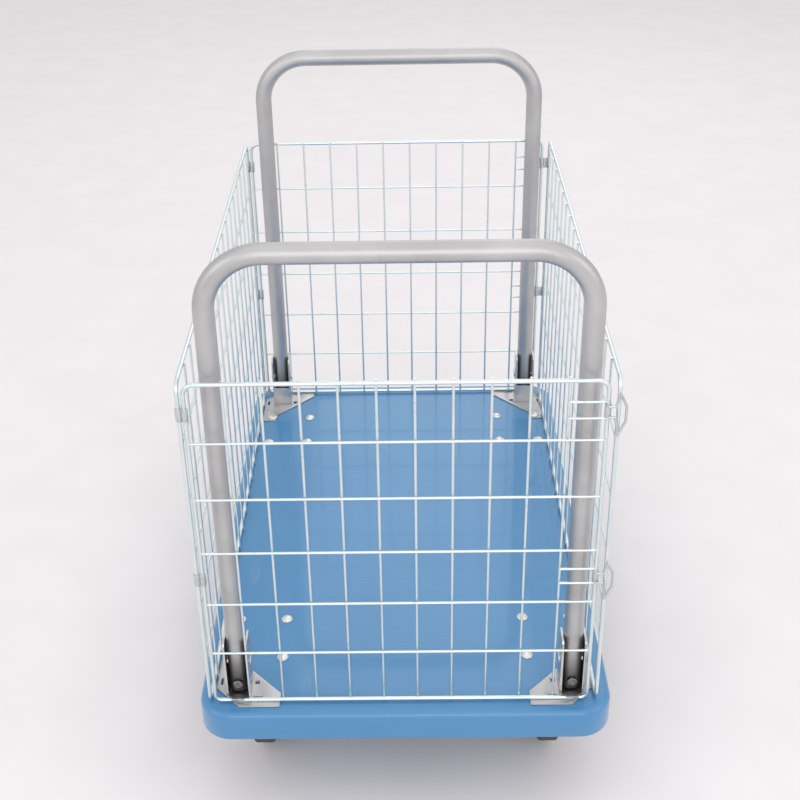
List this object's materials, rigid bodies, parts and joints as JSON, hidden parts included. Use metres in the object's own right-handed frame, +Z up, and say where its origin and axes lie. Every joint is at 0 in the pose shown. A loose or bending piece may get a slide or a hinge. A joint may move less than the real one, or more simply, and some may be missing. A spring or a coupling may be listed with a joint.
{
  "type": "platform cart",
  "caption": "Platform cart with a blue steel deck, fold-down tube handles at both ends, wire mesh cage with a hinged side gate, fixed and swivel casters.",
  "frame": {"origin": "on the floor under the middle of the deck", "axes": "+X across the cart to the gate side, +Y along the cart away from the fixed casters, +Z up"},
  "size_m": [0.615, 0.915, 0.9383],
  "materials": {
    "deck_paint": "semi-gloss baked paint, light blue",
    "underframe_paint": "satin paint",
    "zinc_plate": "zinc plated sheet",
    "bracket_steel": "bright zinc plated sheet",
    "tube_silver": "satin silver-grey paint",
    "black_plastic": "moulded plastic",
    "zinc_wire": "bright zinc plated wire",
    "clip_steel": "zinc plated spring steel",
    "tyre_rubber": "grey-black rubber",
    "wheel_centre": "grey painted pressed steel",
    "caster_steel": "zinc plated pressed steel",
    "zinc_fastener": "bright zinc plated"
  },
  "bodies": {
    "frame": {"deck": "deck_paint", "cross_member_near": "underframe_paint", "cross_member_far": "underframe_paint", "centre_stiffener": "underframe_paint", "corner_plate_nl": "zinc_plate", "corner_plate_nr": "zinc_plate", "corner_plate_fl": "zinc_plate", "corner_plate_fr": "zinc_plate", "bracket_nl": "bracket_steel", "bracket_nr": "bracket_steel", "bracket_fl": "bracket_steel", "bracket_fr": "bracket_steel", "pivot_pins_near": "zinc_fastener", "pivot_pins_far": "zinc_fastener", "end_panel_near": "zinc_wire", "end_panel_far": "zinc_wire", "side_panel": "zinc_wire", "panel_clips": "clip_steel", "caster_bolts": "zinc_fastener", "caster_nuts": "zinc_fastener", "plate_nuts": "zinc_fastener", "fixed_fork_l": "caster_steel", "fixed_fork_r": "caster_steel", "axle_nl": "zinc_fastener", "axle_nr": "zinc_fastener", "swivel_plate_l": "caster_steel", "swivel_plate_r": "caster_steel", "king_pin_l": "zinc_fastener", "king_pin_r": "zinc_fastener"},
    "handle_near": {"handle_near": "tube_silver", "foot_plugs_near": "black_plastic", "foot_screws_near": "zinc_fastener"},
    "handle_far": {"handle_far": "tube_silver", "foot_plugs_far": "black_plastic", "foot_screws_far": "zinc_fastener"},
    "gate": {"gate_panel": "zinc_wire", "gate_hinges": "clip_steel"},
    "latch_upper": {"latch_upper": "clip_steel"},
    "latch_lower": {"latch_lower": "clip_steel"},
    "swivel_left": {"swivel_fork_l": "caster_steel", "axle_fl": "zinc_fastener"},
    "swivel_right": {"swivel_fork_r": "caster_steel", "axle_fr": "zinc_fastener"},
    "wheel_near_left": {"tyre_nl": "tyre_rubber", "hub_nl": "wheel_centre"},
    "wheel_near_right": {"tyre_nr": "tyre_rubber", "hub_nr": "wheel_centre"},
    "wheel_far_left": {"tyre_fl": "tyre_rubber", "hub_fl": "wheel_centre"},
    "wheel_far_right": {"tyre_fr": "tyre_rubber", "hub_fr": "wheel_centre"}
  },
  "joints": [
    {"name": "near_handle_fold", "type": "hinge", "parent": "frame", "child": "handle_near", "pos_m": [0, -0.405, 0.255], "axis": [-1, 0, 0], "range_deg": [0, 90]},
    {"name": "far_handle_fold", "type": "hinge", "parent": "frame", "child": "handle_far", "pos_m": [0, 0.405, 0.255], "axis": [1, 0, 0], "range_deg": [0, 77]},
    {"name": "gate_swing", "type": "hinge", "parent": "frame", "child": "gate", "pos_m": [0.269, 0.4305, 0.475], "axis": [0, 0, 1], "range_deg": [0, 100]},
    {"name": "upper_latch_turn", "type": "hinge", "parent": "frame", "child": "latch_upper", "pos_m": [0.269, -0.4305, 0.705], "axis": [0, 0, -1], "range_deg": [0, 110]},
    {"name": "lower_latch_turn", "type": "hinge", "parent": "frame", "child": "latch_lower", "pos_m": [0.269, -0.4305, 0.43], "axis": [0, 0, -1], "range_deg": [0, 110]},
    {"name": "left_swivel", "type": "hinge", "parent": "frame", "child": "swivel_left", "pos_m": [-0.227, 0.295, 0.175], "axis": [0, 0, 1], "continuous": true},
    {"name": "right_swivel", "type": "hinge", "parent": "frame", "child": "swivel_right", "pos_m": [0.227, 0.295, 0.175], "axis": [0, 0, 1], "continuous": true},
    {"name": "near_left_wheel_spin", "type": "hinge", "parent": "frame", "child": "wheel_near_left", "pos_m": [-0.227, -0.295, 0.075], "axis": [1, 0, 0], "continuous": true},
    {"name": "near_right_wheel_spin", "type": "hinge", "parent": "frame", "child": "wheel_near_right", "pos_m": [0.227, -0.295, 0.075], "axis": [1, 0, 0], "continuous": true},
    {"name": "far_left_wheel_spin", "type": "hinge", "parent": "swivel_left", "child": "wheel_far_left", "pos_m": [-0.227, 0.257, 0.075], "axis": [1, 0, 0], "continuous": true},
    {"name": "far_right_wheel_spin", "type": "hinge", "parent": "swivel_right", "child": "wheel_far_right", "pos_m": [0.227, 0.257, 0.075], "axis": [1, 0, 0], "continuous": true}
  ]
}
